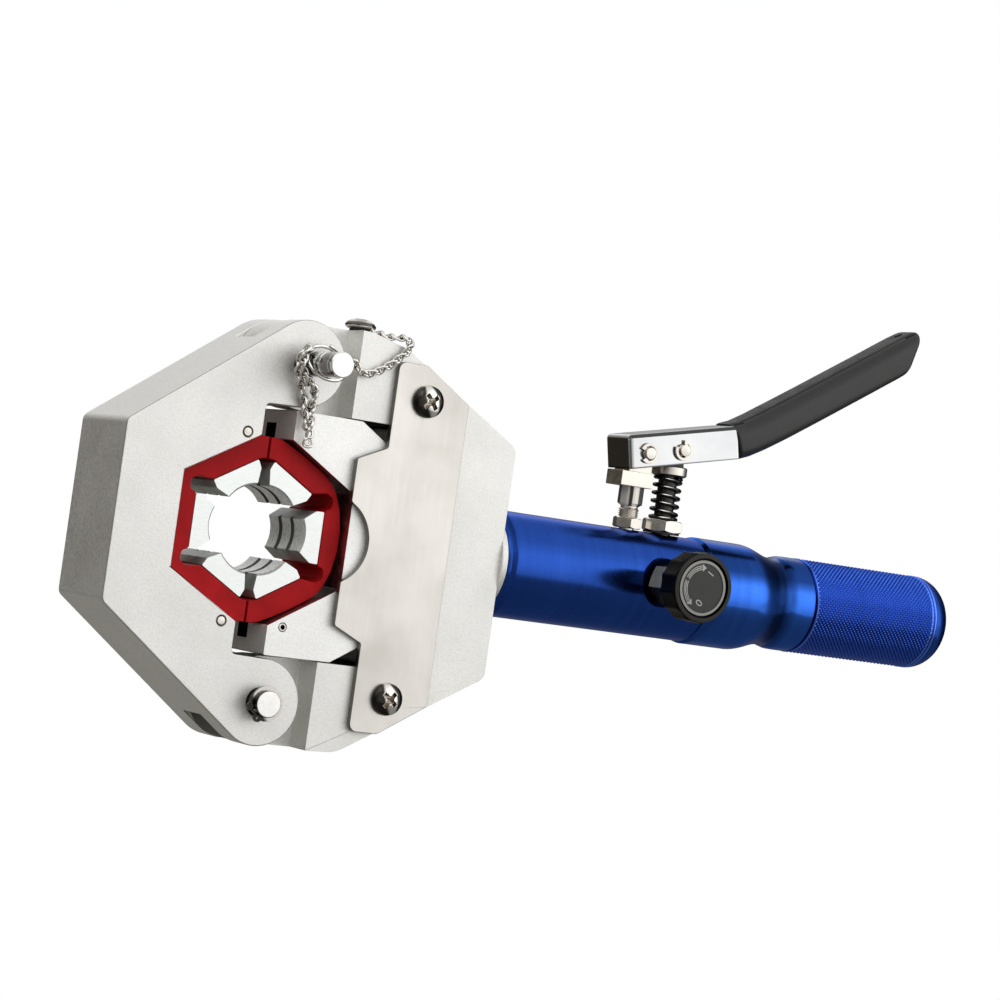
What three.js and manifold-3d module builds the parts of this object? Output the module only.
// Hand-pumped hydraulic hose crimper: a hinged jaw and a ram-driven pusher close six dies in a
// two-part urethane cage round a hose ferrule; a lever works a small plunger pump in the barrel.
// Millimetres. Origin at the centre of the jaw's hexagonal die recess, on the head's mid-plane.
// +X runs along the tool from the jaw to the handle, -Y is the front face, +Z is the lever side.
import * as THREE from "three";
import { mergeVertices } from "three/addons/utils/BufferGeometryUtils.js";
import Module from "manifold-3d";

const wasm = await Module();
wasm.setup();

// ---- driving dimensions; _H is half a thickness, _R a radius, _X, _Y and _Z are places ----
const HEAD_H = 19.7;
const PIN_X = 12.6, PIN_Z = 63.1; // hinge pin at -PIN_Z, release pin at +PIN_Z
const PIN_HOLE_R = 5.3;
const LUG_R = 16.3; // rounded end of each jaw lug
const TONGUE_R = 16.0, TONGUE_H = 7.35; // frame tongues
const SLOT_H = 7.7, SLOT_X = -4.6; // half width and floor of the jaw's fork slots
const SIDE_Z0 = 40, SIDE_Z1 = 90; // range in |Z| of the cuts at tongues and forks
const JAW_X = -56, JAW_Z = 33; // end face of the jaw
const HEX_X = -30.75, HEX_Z = 17.75, MOUTH_X = -1.5, MOUTH_Z = 34.6; // recess in the jaw
const NOTCH_Z = 46.8; // inner edge of the lugs
const DOWEL_X = -7.6, DOWEL_Z = 34.9;
const STEP_X = 34.4; // where the frame is full thickness again
const FRAME_Z = 79.1, FRAME_TOP_X = 47, FRAME_END_X = 107.7, FRAME_END_Z = 44.6;
const CHANNEL_Z = 45.9, POCKET_X = 61.3; // half height and back wall of the frame's channel
const PUSH_X0 = 11.6, PUSH_X1 = 60.2, PUSH_Z = 45.3;
const VEE_X = 39.9, VEE_Z = 17.9; // floor of the pusher's V mouth
const PUSH_PIN_X = 18, PUSH_PIN_Z = -34.6;
const RAM_R = 15.6, BORE_R = 16.0;
const PLATE_T = 2.5; // cover plate thickness
const SCREW_X = 64.3, SCREW_Z = 56.6; // cover plate screws
const CHAIN_X = 41.2, CHAIN_Y = -4; // chain screw
const CAGE_X = 4.6, CAGE_H = 14.7; // centre of the open die set
const DIE_H = 14.3;
const DIE_SIDE = 26.8, DIE_SLANT = 23.9; // from the set's centre to the dies' backs
const DIE_ARC_R = 13.3, DIE_ARC_HALF = 25.9; // crimping arc and half its angle, degrees
const BARREL_R = 21, BARREL_X0 = 112.1, BARREL_X1 = 208;
const COLLAR_R = 21.8, HANDLE_R = 19.6, HANDLE_X0 = 262.2, HANDLE_X1 = 337;
const LEVER_X = 176, LEVER_Z = 52; // pivot of the lever
const LEVER_TURN = THREE.MathUtils.degToRad(-12); // about Y, at rest
const LINK_X = 16.8; // link pin, along the lever from its pivot
const LEVER_HOLE_R = 2.75;
const PLUNGER_X = 193.5, POST_X = 176.5;
const KNOB_X = 184, KNOB_Z = 1.5;
const THROUGH = 60; // half length of a cutter that passes right through in Y

const FACES = [["front", -1], ["rear", 1]];
const EDGES = [["upper", 1], ["lower", -1]];

// ---- materials ----
const standard = (options) => new THREE.MeshStandardMaterial(options);
const materials = {
  cast: standard({ color: 0xdedfdb, roughness: 0.55, metalness: 0.85 }),
  stainless: standard({ color: 0xd9d2ca, roughness: 0.32, metalness: 0.95 }),
  nickel: standard({ color: 0xc8beaf, roughness: 0.22, metalness: 1 }),
  chrome: standard({ color: 0xe8eaec, roughness: 0.08, metalness: 1 }),
  blue: standard({ color: 0x173ca8, roughness: 0.3, metalness: 0.9 }),
  red: standard({ color: 0xa82026, roughness: 0.6, metalness: 0 }),
  steel: standard({ color: 0xe6eae6, roughness: 0.35, metalness: 0.95 }),
  black: standard({ color: 0x141416, roughness: 0.35, metalness: 0.1 }),
  rubber: standard({ color: 0x464644, roughness: 0.5, metalness: 0 }),
  spring: standard({ color: 0x25282a, roughness: 0.35, metalness: 0.9 }),
  dark: standard({ color: 0x3c3c3a, roughness: 0.5, metalness: 0 }),
  grey: standard({ color: 0x7d7d78, roughness: 0.35, metalness: 0.6 }),
  brass: standard({ color: 0xb08d57, roughness: 0.3, metalness: 0.9 }),
  seal: standard({ color: 0x1a1a1a, roughness: 0.7, metalness: 0 }),
};

// ---- solid helpers: closed geometry in, joined or cut geometry out ----
function toSolid(geometry) {
  const loose = geometry.index ? geometry.toNonIndexed() : geometry;
  const bare = new THREE.BufferGeometry();
  bare.setAttribute("position", loose.getAttribute("position").clone());
  const merged = mergeVertices(bare, 1e-4);
  return new wasm.Manifold(new wasm.Mesh({
    numProp: 3,
    vertProperties: merged.attributes.position.array,
    triVerts: new Uint32Array(merged.index.array),
  }));
}
function toGeometry(solid) {
  const { numVert, numProp, vertProperties, triVerts } = solid.getMesh();
  const positions = new Float32Array(numVert * 3);
  for (let i = 0; i < numVert; i++) {
    positions.set(vertProperties.subarray(i * numProp, i * numProp + 3), i * 3);
  }
  const geometry = new THREE.BufferGeometry();
  geometry.setAttribute("position", new THREE.BufferAttribute(positions, 3));
  geometry.setIndex(new THREE.BufferAttribute(triVerts, 1));
  geometry.computeVertexNormals();
  return geometry;
}
const cut = (body, ...tools) =>
  toGeometry(tools.reduce((solid, tool) => solid.subtract(toSolid(tool)), toSolid(body)));
const join = (body, ...parts) =>
  toGeometry(parts.reduce((solid, part) => solid.add(toSolid(part)), toSolid(body)));

// ---- outlines: lists of [x, z] ----
function arc(centreX, centreZ, radius, fromDeg, toDeg, steps) {
  return Array.from({ length: steps + 1 }, (_, i) => {
    const angle = THREE.MathUtils.degToRad(fromDeg + ((toDeg - fromDeg) * i) / steps);
    return [centreX + radius * Math.cos(angle), centreZ + radius * Math.sin(angle)];
  });
}
// the points, then their mirror image in Z in reverse order
const symmetric = (points) => [...points, ...points.map(([x, z]) => [x, -z]).reverse()];
// Y range of a layer between two distances from the mid-plane, on the face with that sign
const layer = (face, near, far) => (face > 0 ? [near, far] : [-far, -near]);

// ---- shapes ----
// outline extruded between two Y values
function plate(points, y0, y1) {
  const shape = new THREE.Shape(points.map(([x, z]) => new THREE.Vector2(x, z)));
  const options = { depth: y1 - y0, bevelEnabled: false, steps: 1 };
  const geometry = new THREE.ExtrudeGeometry(shape, options);
  geometry.rotateX(Math.PI / 2); // (x, z, d) -> (x, -d, z)
  return geometry.translate(0, y1, 0);
}
function openRing(outer, inner, x, z, [y0, y1], fromDeg, toDeg, steps) {
  const outside = arc(x, z, outer, fromDeg, toDeg, steps);
  return plate([...outside, ...arc(x, z, inner, toDeg, fromDeg, steps)], y0, y1);
}
function box(x0, x1, y0, y1, z0, z1) {
  const geometry = new THREE.BoxGeometry(x1 - x0, y1 - y0, z1 - z0);
  return geometry.translate((x0 + x1) / 2, (y0 + y1) / 2, (z0 + z1) / 2);
}
// cylinders along each axis
function cylX(radius, y, z, x0, x1, sides) {
  const geometry = new THREE.CylinderGeometry(radius, radius, x1 - x0, sides);
  geometry.rotateZ(Math.PI / 2);
  return geometry.translate((x0 + x1) / 2, y, z);
}
function cylY(radius, x, z, y0, y1, sides) {
  const geometry = new THREE.CylinderGeometry(radius, radius, y1 - y0, sides);
  return geometry.translate(x, (y0 + y1) / 2, z);
}
function cylZ(radius, x, y, z0, z1, sides, turn = 0) {
  const geometry = new THREE.CylinderGeometry(radius, radius, z1 - z0, sides);
  geometry.rotateY(turn);
  geometry.rotateX(Math.PI / 2);
  return geometry.translate(x, y, (z0 + z1) / 2);
}
const throughY = (radius, x, z, sides) => cylY(radius, x, z, -THROUGH, THROUGH, sides);
// the same shape at +Z and at -Z
const boxPair = (x0, x1, y0, y1, z0, z1) =>
  [box(x0, x1, y0, y1, z0, z1), box(x0, x1, y0, y1, -z1, -z0)];
const cylYPair = (radius, x, z, y0, y1, sides) =>
  [cylY(radius, x, z, y0, y1, sides), cylY(radius, x, -z, y0, y1, sides)];
const throughPair = (radius, x, z, sides) => cylYPair(radius, x, z, -THROUGH, THROUGH, sides);
// nut or collar along Z with a hole through it
const collarZ = (radius, holeRadius, x, z0, z1, sides, holeSides, turn = 0) =>
  cut(cylZ(radius, x, 0, z0, z1, sides, turn), cylZ(holeRadius, x, 0, z0 - 5, z1 + 5, holeSides));
// profile of [radius, y] turned round Y
function turnY(profile, sides) {
  return new THREE.LatheGeometry(profile.map(([r, y]) => new THREE.Vector2(r, y)), sides);
}
// profile of [x, radius] turned round X
function turnX(profile, sides) {
  return turnY(profile.map(([x, r]) => [r, x]), sides).rotateZ(-Math.PI / 2);
}
// round bar along a smooth path of [x, y, z]
function rod(points, radius, sides, steps) {
  const path = new THREE.CatmullRomCurve3(points.map((point) => new THREE.Vector3(...point)));
  const section = new THREE.Shape(Array.from({ length: sides }, (_, i) => {
    const angle = (2 * Math.PI * i) / sides;
    return new THREE.Vector2(radius * Math.cos(angle), radius * Math.sin(angle));
  }));
  return new THREE.ExtrudeGeometry(section, { steps, extrudePath: path, bevelEnabled: false });
}
// helix along the first axis
function helix(start, end, radius, turns, perTurn) {
  const count = turns * perTurn;
  return Array.from({ length: count + 1 }, (_, i) => {
    const angle = (2 * Math.PI * i) / perTurn;
    const along = start + ((end - start) * i) / count;
    return [along, radius * Math.cos(angle), radius * Math.sin(angle)];
  });
}

const root = new THREE.Group();
const head = new THREE.Group();
const jaw = new THREE.Group();
const dieSet = new THREE.Group();
const pump = new THREE.Group();
const lever = new THREE.Group();
const valve = new THREE.Group();
root.add(head, jaw, dieSet, pump, valve);
pump.add(lever);
function add(group, name, geometry, material, x = 0, y = 0, z = 0) {
  const mesh = new THREE.Mesh(geometry, material);
  mesh.name = name;
  mesh.position.set(x, y, z);
  group.add(mesh);
  return mesh;
}

// ---- jaw: a flat hexagonal yoke with a fork at each end ----
function endJaw() {
  // the slanted side leaves the lug circle along the tangent from the end face's corner
  const runX = PIN_X - JAW_X;
  const runZ = PIN_Z - JAW_Z;
  const slope = Math.atan2(runZ, runX) + Math.asin(LUG_R / Math.hypot(runX, runZ));
  const upper = [
    [MOUTH_X, MOUTH_Z], [MOUTH_X, NOTCH_Z - 1.4], [MOUTH_X + 0.4, NOTCH_Z - 0.4],
    [MOUTH_X + 1.4, NOTCH_Z],
    ...arc(PIN_X, PIN_Z, LUG_R, -90, 90 + THREE.MathUtils.radToDeg(slope), 22),
    [JAW_X + 2.2, JAW_Z + 1.6], [JAW_X + 0.5, JAW_Z - 0.6], [JAW_X, JAW_Z - 2.6],
  ];
  const outline = [[HEX_X, -HEX_Z], [HEX_X, HEX_Z], ...symmetric(upper)];
  return cut(plate(outline, -HEAD_H, HEAD_H),
    ...boxPair(SLOT_X, 40, -SLOT_H, SLOT_H, SIDE_Z0, SIDE_Z1),
    ...throughPair(PIN_HOLE_R, PIN_X, PIN_Z, 20),
    ...cylYPair(1.9, DOWEL_X, DOWEL_Z, -THROUGH, -13, 12));
}
add(jaw, "end_jaw", endJaw(), materials.cast);
for (const [edgeName, edge] of EDGES) {
  const dowel = cylY(1.6, DOWEL_X, edge * DOWEL_Z, -HEAD_H, -13.4, 12);
  add(jaw, "jaw_dowel_" + edgeName, dowel, materials.steel);
}

// ---- frame: yoke with two tongues, a channel for the pusher and the ram bore ----
function headFrame() {
  const upper = [
    [POCKET_X, CHANNEL_Z], [STEP_X, CHANNEL_Z], [STEP_X - 18, CHANNEL_Z + 0.6],
    [PIN_X, PIN_Z - TONGUE_R], ...arc(PIN_X, PIN_Z, TONGUE_R, -110, -260, 12),
    [PIN_X + 4, FRAME_Z], [FRAME_TOP_X - 2, FRAME_Z - 0.6], [FRAME_TOP_X + 4, FRAME_Z - 2.4],
    [FRAME_END_X - 2.2, FRAME_END_Z + 1.4], [FRAME_END_X - 0.5, FRAME_END_Z - 0.8],
    [FRAME_END_X, FRAME_END_Z - 3],
  ];
  // thin the tongues from both faces, then drill for the pins and plate screws
  const yoke = cut(plate(symmetric(upper), -HEAD_H, HEAD_H),
    ...boxPair(-10, STEP_X, TONGUE_H, 30, SIDE_Z0, SIDE_Z1),
    ...boxPair(-10, STEP_X, -30, -TONGUE_H, SIDE_Z0, SIDE_Z1),
    ...throughPair(PIN_HOLE_R, PIN_X, PIN_Z, 20),
    ...cylYPair(3.1, SCREW_X, SCREW_Z, -30, -8, 14),
    ...cylYPair(3.1, SCREW_X, SCREW_Z, 8, 30, 14));
  const neck = cylX(19, 0, 0, FRAME_END_X - 6, 111.7, 32);
  return cut(join(yoke, neck),
    cylX(BORE_R, 0, 0, POCKET_X - 8, 125, 28), cylZ(2.6, CHAIN_X, CHAIN_Y, 68, 90, 12));
}
add(head, "head_frame", headFrame(), materials.cast);

// V-mouthed block that slides in the channel
const PUSH_Y = -HEAD_H + 0.3; // its front face
function pusherBlock() {
  const outline = symmetric([
    [VEE_X, VEE_Z], [PUSH_X0, MOUTH_Z], [PUSH_X0, PUSH_Z], [39.6, PUSH_Z - 0.1],
    [50.2, 39.0], [51.4, 36.2], [PUSH_X1, 33.0],
  ]);
  return cut(plate(outline, PUSH_Y, -PUSH_Y),
    ...boxPair(PUSH_X0 - 1, PUSH_X0 + 9, -4, 4, MOUTH_Z - 6, 40.5),
    cylY(1.8, PUSH_PIN_X, PUSH_PIN_Z, -30, -6, 12),
    cylX(6.4, 0, 0, 48, 70, 20));
}
add(head, "pusher_block", pusherBlock(), materials.cast);
const pusherPin = cut(
  cylY(1.55, PUSH_PIN_X, PUSH_PIN_Z, PUSH_Y, -6.6, 12),
  cylY(0.9, PUSH_PIN_X, PUSH_PIN_Z, -30, 0, 10));
add(head, "pusher_spring_pin", pusherPin, materials.steel);

// ram: hollow piston behind the pusher, its spigot reaching into the pusher; [x, radius]
const RAM = [
  [48.6, 0], [48.6, 6], [60.6, 6], [60.6, RAM_R], [92, RAM_R], [92, 13.2], [96, 13.2],
  [96, RAM_R], [101, RAM_R], [101, 9], [74, 9], [74, 0],
];
const PISTON_SEAL = [
  [92.3, 13.5], [92.3, RAM_R + 0.2], [95.7, RAM_R + 0.2], [95.7, 13.5], [92.3, 13.5],
];
add(head, "ram_piston", turnX(RAM, 28), materials.steel);
add(head, "piston_seal", turnX(PISTON_SEAL, 28), materials.seal);
const ramSpring = rod(helix(75.6, 128.4, 6.6, 7, 8), 1.0, 4, 56);
add(head, "ram_return_spring", ramSpring, materials.spring);

// ---- cover plates and their screws, front and rear ----
// upper edge of a plate, [x, z]
const COVER_EDGE = [
  [38, 31.5], [50.3, 37], [50.3, 67.2], [51.2, 69.2], [53, 70.1], [62.5, 70.1], [82.7, 57.8],
];
function coverPlate(face) {
  const outline = [...arc(31.2, 0, 16.4, -64, 64, 12), ...symmetric(COVER_EDGE)];
  return cut(plate(outline, ...layer(face, HEAD_H + 0.02, HEAD_H + PLATE_T)),
    ...throughPair(3.3, SCREW_X, SCREW_Z, 14));
}
// cross-slotted screw, head towards +Y; [radius, y]
const PLATE_SCREW = [
  [0, -10.5], [2.7, -10.5], [2.7, 0.1], [6.2, 0.1], [6.2, 1.2], [5.2, 2.6], [3.2, 3.4], [0, 3.7],
];
const plateScrew = () => cut(turnY(PLATE_SCREW, 16),
  box(-3, 3, 1.6, 5, -0.6, 0.6), box(-0.6, 0.6, 1.6, 5, -3, 3));
for (const [faceName, face] of FACES) {
  add(head, "cover_plate_" + faceName, coverPlate(face), materials.stainless);
  for (const [edgeName, edge] of EDGES) {
    const screw = add(head, `plate_screw_${faceName}_${edgeName}`, plateScrew(),
      materials.nickel, SCREW_X, face * (HEAD_H + PLATE_T), edge * SCREW_Z);
    if (face < 0) screw.rotation.x = Math.PI;
  }
}

// ---- hinge pin, its two snap rings, the release pin and its chain ----
// pins and screw as [radius, y]
const HINGE_PIN = [
  [0, -28.5], [4.4, -28.5], [5, -27.9], [5, -25.6], [4.4, -25.6], [4.4, -24.2], [5, -24.2],
  [5, 24.2], [4.4, 24.2], [4.4, 25.6], [5, 25.6], [5, 27.9], [4.4, 28.5], [0, 28.5],
];
const RELEASE_PIN = [
  [0, -47.6], [4.2, -47.6], [4.7, -47.1], [4.7, -10], [4.2, -8.6], [3.2, -8.1], [0, -8.1],
];
const CHAIN_SCREW = [
  [0, -10], [2.2, -10], [2.2, 0.1], [4.1, 0.1], [4.1, 2.2], [5.9, 3.0], [5.9, 3.9],
  [4.6, 5.0], [2.4, 5.6], [0, 5.7],
];
// flat outline, [x, z]
const CHAIN_TAIL = [
  [3.4, 67.2], [6.4, 67.6], [7.3, 60.0], [9.0, 56.6], [13.6, 53.8], [15.9, 47], [18.9, 36.5],
  [17.6, 33.2], [15.0, 33.0], [13.2, 36.0], [11.0, 46], [6.2, 55], [3.6, 61],
];
// centre line from the screw to the release pin, [x, y, z]
const CHAIN = [
  [44.2, -9.5, 81.2], [46.5, -15, 80.7], [49.5, -21.6, 79.0], [51.6, -22.6, 75],
  [47.2, -22.4, 70.4], [43.2, -22.4, 66], [38.2, -22.6, 63.4], [34.6, -23, 63],
  [30.4, -24.4, 63.6], [26.2, -26.2, 64.2],
];
add(jaw, "hinge_pin", turnY(HINGE_PIN, 20), materials.nickel, PIN_X, 0, -PIN_Z);
for (const [faceName, face] of FACES) {
  const ring = openRing(7.1, 4.7, PIN_X, -PIN_Z, layer(face, 24.3, 25.5), -112, 192, 18);
  add(jaw, "snap_ring_" + faceName, ring, materials.spring);
}
add(jaw, "release_pin", turnY(RELEASE_PIN, 20), materials.chrome, PIN_X, 0, PIN_Z);
// tilted ring round the release pin
const pinRing = new THREE.TorusGeometry(8.4, 0.7, 6, 24).rotateX(Math.PI / 2 - 0.62);
add(jaw, "pin_ring", pinRing, materials.nickel, PIN_X + 1.9, -27.2, PIN_Z + 0.6);
add(jaw, "chain_tail", plate(CHAIN_TAIL, -24.6, -21.4), materials.nickel);
const chainScrew = turnY(CHAIN_SCREW, 16).rotateX(Math.PI / 2); // head towards +Z
add(head, "chain_screw", chainScrew, materials.nickel, CHAIN_X, CHAIN_Y, FRAME_Z);
add(head, "retaining_chain", rod(CHAIN, 1.25, 6, 36), materials.nickel);

// ---- die set: urethane cage in two halves, three steel dies in each ----
// upper half of each outline, [x, z]: inner edge, then outer edge
const CAGE_JAW = [
  [-22.5, 10.5], [-24.4, 11.9], [-25.0, 14.0], [-23.8, 15.8], [-21.4, 16.6], [-16.2, 16.0],
  [1.2, 26.0], [4.2, 26.9],
  [4.2, 34.4], [-0.5, 34.0], [-4.6, 32.3], [-30.4, 17.45],
];
const CAGE_PUSHER = [
  [31.6, 10.5], [33.4, 11.9], [34.0, 14.2], [32.8, 16.0], [30.4, 16.7], [25.4, 16.0],
  [8.0, 26.0], [5.0, 26.9],
  [5.0, 34.4], [9.2, 33.2], [16.4, 29.5], [26.0, 23.9], [31.6, 20.3], [35.6, 15.9],
  [38.2, 10.4], [39.4, 4.0],
];
add(dieSet, "die_cage_jaw", plate(symmetric(CAGE_JAW), -CAGE_H, CAGE_H), materials.red);
add(dieSet, "die_cage_pusher", plate(symmetric(CAGE_PUSHER), -CAGE_H, CAGE_H), materials.red);

// one die pointing along +X, back face at x = 0; two grooves leave three crimping ridges
function die() {
  const arcX = 8.6 + DIE_ARC_R * Math.cos(THREE.MathUtils.degToRad(DIE_ARC_HALF));
  const tip = arc(arcX, 0, DIE_ARC_R, 180 + DIE_ARC_HALF, 180 - DIE_ARC_HALF, 6);
  const outline = [[0, 9.9], [0, -9.9], [3.6, -9.6], ...tip, [3.6, 9.6]];
  const grooves = [-4.7, 4.7].map((y) => cylY(14.2, arcX, 0, y - 0.9, y + 0.9, 40));
  return cut(plate(outline, -DIE_H, DIE_H), ...grooves);
}
// every 60 degrees from +X towards +Z
const DIES = [
  "pusher_middle", "pusher_upper", "jaw_upper", "jaw_middle", "jaw_lower", "pusher_lower",
];
DIES.forEach((name, i) => {
  const angle = (i * Math.PI) / 3;
  const reach = i % 3 === 0 ? DIE_SIDE : DIE_SLANT;
  const x = CAGE_X + reach * Math.cos(angle);
  const mesh = add(dieSet, "die_" + name, die(), materials.steel, x, 0, reach * Math.sin(angle));
  mesh.rotation.y = -(angle + Math.PI);
});

// ---- pump: barrel, rear body, handle with oil bladder, valves; profiles are [x, radius] ----
const BARREL = [
  [BARREL_X0, 0], [BARREL_X0, 19.2], [BARREL_X0 + 1.6, BARREL_R], [BARREL_X1, BARREL_R],
  [BARREL_X1, 0],
];
const REAR_BODY = [
  [208.4, 6.2], [208.4, 20.6], [209.6, COLLAR_R], [233, COLLAR_R], [236, 20.9], [240, 19.3],
  [244, 18.3], [247, 18.2], [249.5, 19.3], [261.8, 19.3], [261.8, 16.6], [270, 16.6],
  [270, 6.2], [208.4, 6.2],
];
const HANDLE = [
  [HANDLE_X0, 17], [HANDLE_X0, HANDLE_R], [325, HANDLE_R], [329.5, 19.0], [333.2, 17.0],
  [335.8, 13.6], [HANDLE_X1, 9], [HANDLE_X1, 4.2], [331, 4.2], [327, 17], [HANDLE_X0, 17],
];
const BLADDER = [
  [273, 0], [273, 7], [276, 11], [282, 15.6], [316, 15.6], [322, 12], [325, 6], [325, 0],
];
const VENT_PLUG = [
  [331.6, 0], [331.6, 3.8], [HANDLE_X1, 3.8], [HANDLE_X1 + 0.4, 3.4], [HANDLE_X1 + 0.4, 0],
];
const PICKUP_TUBE = [[210, 2.2], [210, 5.6], [272, 5.6], [272, 2.2], [210, 2.2]];
function pumpBarrel() {
  const valveBoss = cylY(10, KNOB_X, KNOB_Z, -21.6, -10, 28);
  return cut(join(turnX(BARREL, 40), valveBoss),
    cylX(BORE_R, 0, 0, 100, 134, 28), // ram bore
    cylX(2.4, 0, -9, 130, 196, 12), // passage from the ram bore
    cylZ(4.5, PLUNGER_X, 0, -10, 30, 16), // plunger bore
    cylX(2.9, 0, 0, PLUNGER_X, 220, 14), // check valve passage
    cylZ(3.4, POST_X, 0, 10, 30, 12), // lever post
    cylY(4.4, KNOB_X, KNOB_Z, -30, -6, 16)); // valve stem
}
add(pump, "pump_barrel", pumpBarrel(), materials.blue);
add(pump, "rear_body", turnX(REAR_BODY, 28), materials.blue);
add(pump, "reservoir_handle", turnX(HANDLE, 28), materials.blue);
add(pump, "oil_bladder", turnX(BLADDER, 24), materials.seal);
add(pump, "vent_plug", turnX(VENT_PLUG, 20), materials.brass);
add(pump, "pickup_tube", turnX(PICKUP_TUBE, 16), materials.brass);
add(pump, "check_ball", new THREE.SphereGeometry(2.3, 12, 8), materials.steel, 200.6, 0, 0);
add(pump, "check_spring", rod(helix(203.6, 207.2, 1.9, 4, 8), 0.35, 4, 32), materials.spring);

// lever post, screwed into the barrel and locked by a nut
function leverPost() {
  const eye = [[170.4, 43], [181.4, 43], ...arc(LEVER_X, LEVER_Z, 5.4, -8, 188, 10)];
  const post = join(
    cylZ(3.0, POST_X, 0, 12, 26.5, 12), cylZ(4.2, POST_X, 0, 26, 31, 12),
    cylZ(5, POST_X, 0, 30, 38.6, 8, Math.PI / 8),
    box(166.8, 182.4, -5.6, 5.6, 38, 43.7), plate(eye, -5.4, 5.4));
  return cut(post, throughY(2.8, LEVER_X, LEVER_Z, 16));
}
// plunger with a slotted eye at its top
function pumpPlunger() {
  const eye = [[188.9, 47.5], [198.1, 47.5], ...arc(PLUNGER_X - 0.9, 55.5, 4.9, -20, 200, 10)];
  const plunger = join(cylZ(3.9, PLUNGER_X, 0, 8, 49, 14), plate(eye, -3.4, 3.4));
  const slot = [-1.7, -0.4].map((x) => throughY(LEVER_HOLE_R, PLUNGER_X + x, 55.49, 14));
  return cut(plunger, join(...slot));
}
const postNut = collarZ(6, 3.3, POST_X, 21.3, 25.7, 6, 12, Math.PI / 6);
const glandNut = collarZ(8.1, 4.4, PLUNGER_X, 21.5, 26.8, 6, 14, Math.PI / 6);
const springCollar = collarZ(6.4, 4.2, PLUNGER_X, 44, 47, 18, 14);
const plungerCoil = helix(27.9, 43.1, 5.3, 5, 10).map(([z, x, y]) => [PLUNGER_X + x, y, z]);
add(pump, "lever_post", leverPost(), materials.nickel);
add(pump, "post_lock_nut", postNut, materials.nickel);
add(pump, "gland_nut", glandNut, materials.nickel);
add(pump, "pump_plunger", pumpPlunger(), materials.spring);
add(pump, "spring_collar", springCollar, materials.nickel);
add(pump, "plunger_spring", rod(plungerCoil, 0.7, 5, 50), materials.spring);

// ---- lever: channel, two pins with clips, grip ----
// outlines in the lever's own frame, [x, z] from its pivot
const LEVER_SIDE = [
  [-8.5, -5.7], [-8.5, 5.4], [-7.4, 7.2], [-5.6, 7.9], [43.1, 7.9], [45.1, -5.5],
];
const TANG = [[42, 5.4], [44, 5.4], [72, 15.0], [73.4, 11.2], [46, 1.8], [42, 1.4]];
const TANG_POCKET = [
  [30, 8.6], [43.6, 8.6], [44.6, 6.2], [72.4, 15.8], [74.2, 10.9], [47, 1.3], [46.6, -9], [30, -9],
];
// [radius, y]
const LEVER_PIN = [[0, -11.4], [2.1, -11.4], [2.4, -11.1], [2.4, 11.1], [2.1, 11.4], [0, 11.4]];
// grip outline in the tool's frame, [x, z]
const GRIP = [
  [216.9, 69.7], [222, 56.2], [231, 59.8], [242, 65.8], [298.4, 100.7], [301.2, 102.8],
  [307.4, 118.6], [307.4, 121.2], [304.4, 122.2], [299.5, 119.2], [292, 114.2], [228, 75.0],
];
// channel open towards -Z, closed at its jaw end, with a tang for the grip
function pumpLever() {
  const channel = cut(plate(LEVER_SIDE, -9, 9), box(-7.0, 60, -7.6, 7.6, -20, 6.5));
  return cut(join(channel, plate(TANG, -7.9, 7.9)),
    ...[0, LINK_X].map((x) => throughY(LEVER_HOLE_R, x, 0, 14)));
}
function leverGrip() {
  const pocket = plate(TANG_POCKET, -8.2, 8.2).rotateY(LEVER_TURN);
  pocket.translate(LEVER_X, 0, LEVER_Z);
  return cut(plate(GRIP, -10, 10), pocket, cylZ(1.6, 300.5, 0, 90, 140, 12));
}
lever.position.set(LEVER_X, 0, LEVER_Z);
lever.rotation.y = LEVER_TURN;
add(lever, "pump_lever", pumpLever(), materials.chrome);
// pin name, x, direction of the clip's opening in degrees
for (const [name, x, opening] of [["pivot", 0, 180], ["link", LINK_X, 110]]) {
  add(lever, `lever_${name}_pin`, turnY(LEVER_PIN, 14), materials.nickel, x, 0, 0);
  for (const [faceName, face] of FACES) {
    const span = layer(face, 9.4, 10.3);
    const clip = openRing(4.2, 2.6, x, 0, span, opening + 38, opening + 322, 14);
    add(lever, `e_clip_${name}_${faceName}`, clip, materials.nickel);
  }
}
add(pump, "lever_grip", leverGrip(), materials.rubber);

// ---- release valve: nut, stem, knob, dial ----
const STEM = [[0, -44], [4.1, -44], [4.1, -12], [1.2, -8], [0, -8]]; // [radius, y]
const KNOB_DIPS = [0.9, 0.35, 0, 0.35]; // depth below the knob's radius, repeated round it
function valveNut() {
  const hexagon = new THREE.CylinderGeometry(8.7, 8.7, 12.6, 6).translate(0, -28.2, 0);
  return cut(hexagon, throughY(4.5, 0, 0, 16));
}
function valveKnob() {
  const outline = Array.from({ length: 48 }, (_, i) => {
    const angle = (i * Math.PI) / 24;
    const radius = 13.6 - KNOB_DIPS[i % 4];
    return [radius * Math.cos(angle), radius * Math.sin(angle)];
  });
  return cut(plate(outline, -48.3, -36.6),
    cylY(4.4, 0, 0, -44.3, -30, 16), cylY(11.5, 0, 0, -50, -46.6, 32));
}
const dialRing = cut(cylY(11.1, 0, 0, -47.7, -46.9, 32), throughY(9.6, 0, 0, 32));
valve.position.set(KNOB_X, 0, KNOB_Z);
add(valve, "valve_nut", valveNut(), materials.black);
add(valve, "valve_stem", turnY(STEM, 16), materials.steel);
add(valve, "valve_knob", valveKnob(), materials.black);
add(valve, "dial_ring", dialRing, materials.grey);
add(valve, "dial_disc", cylY(9.2, 0, 0, -47.4, -46.9, 28), materials.dark);

export default root;
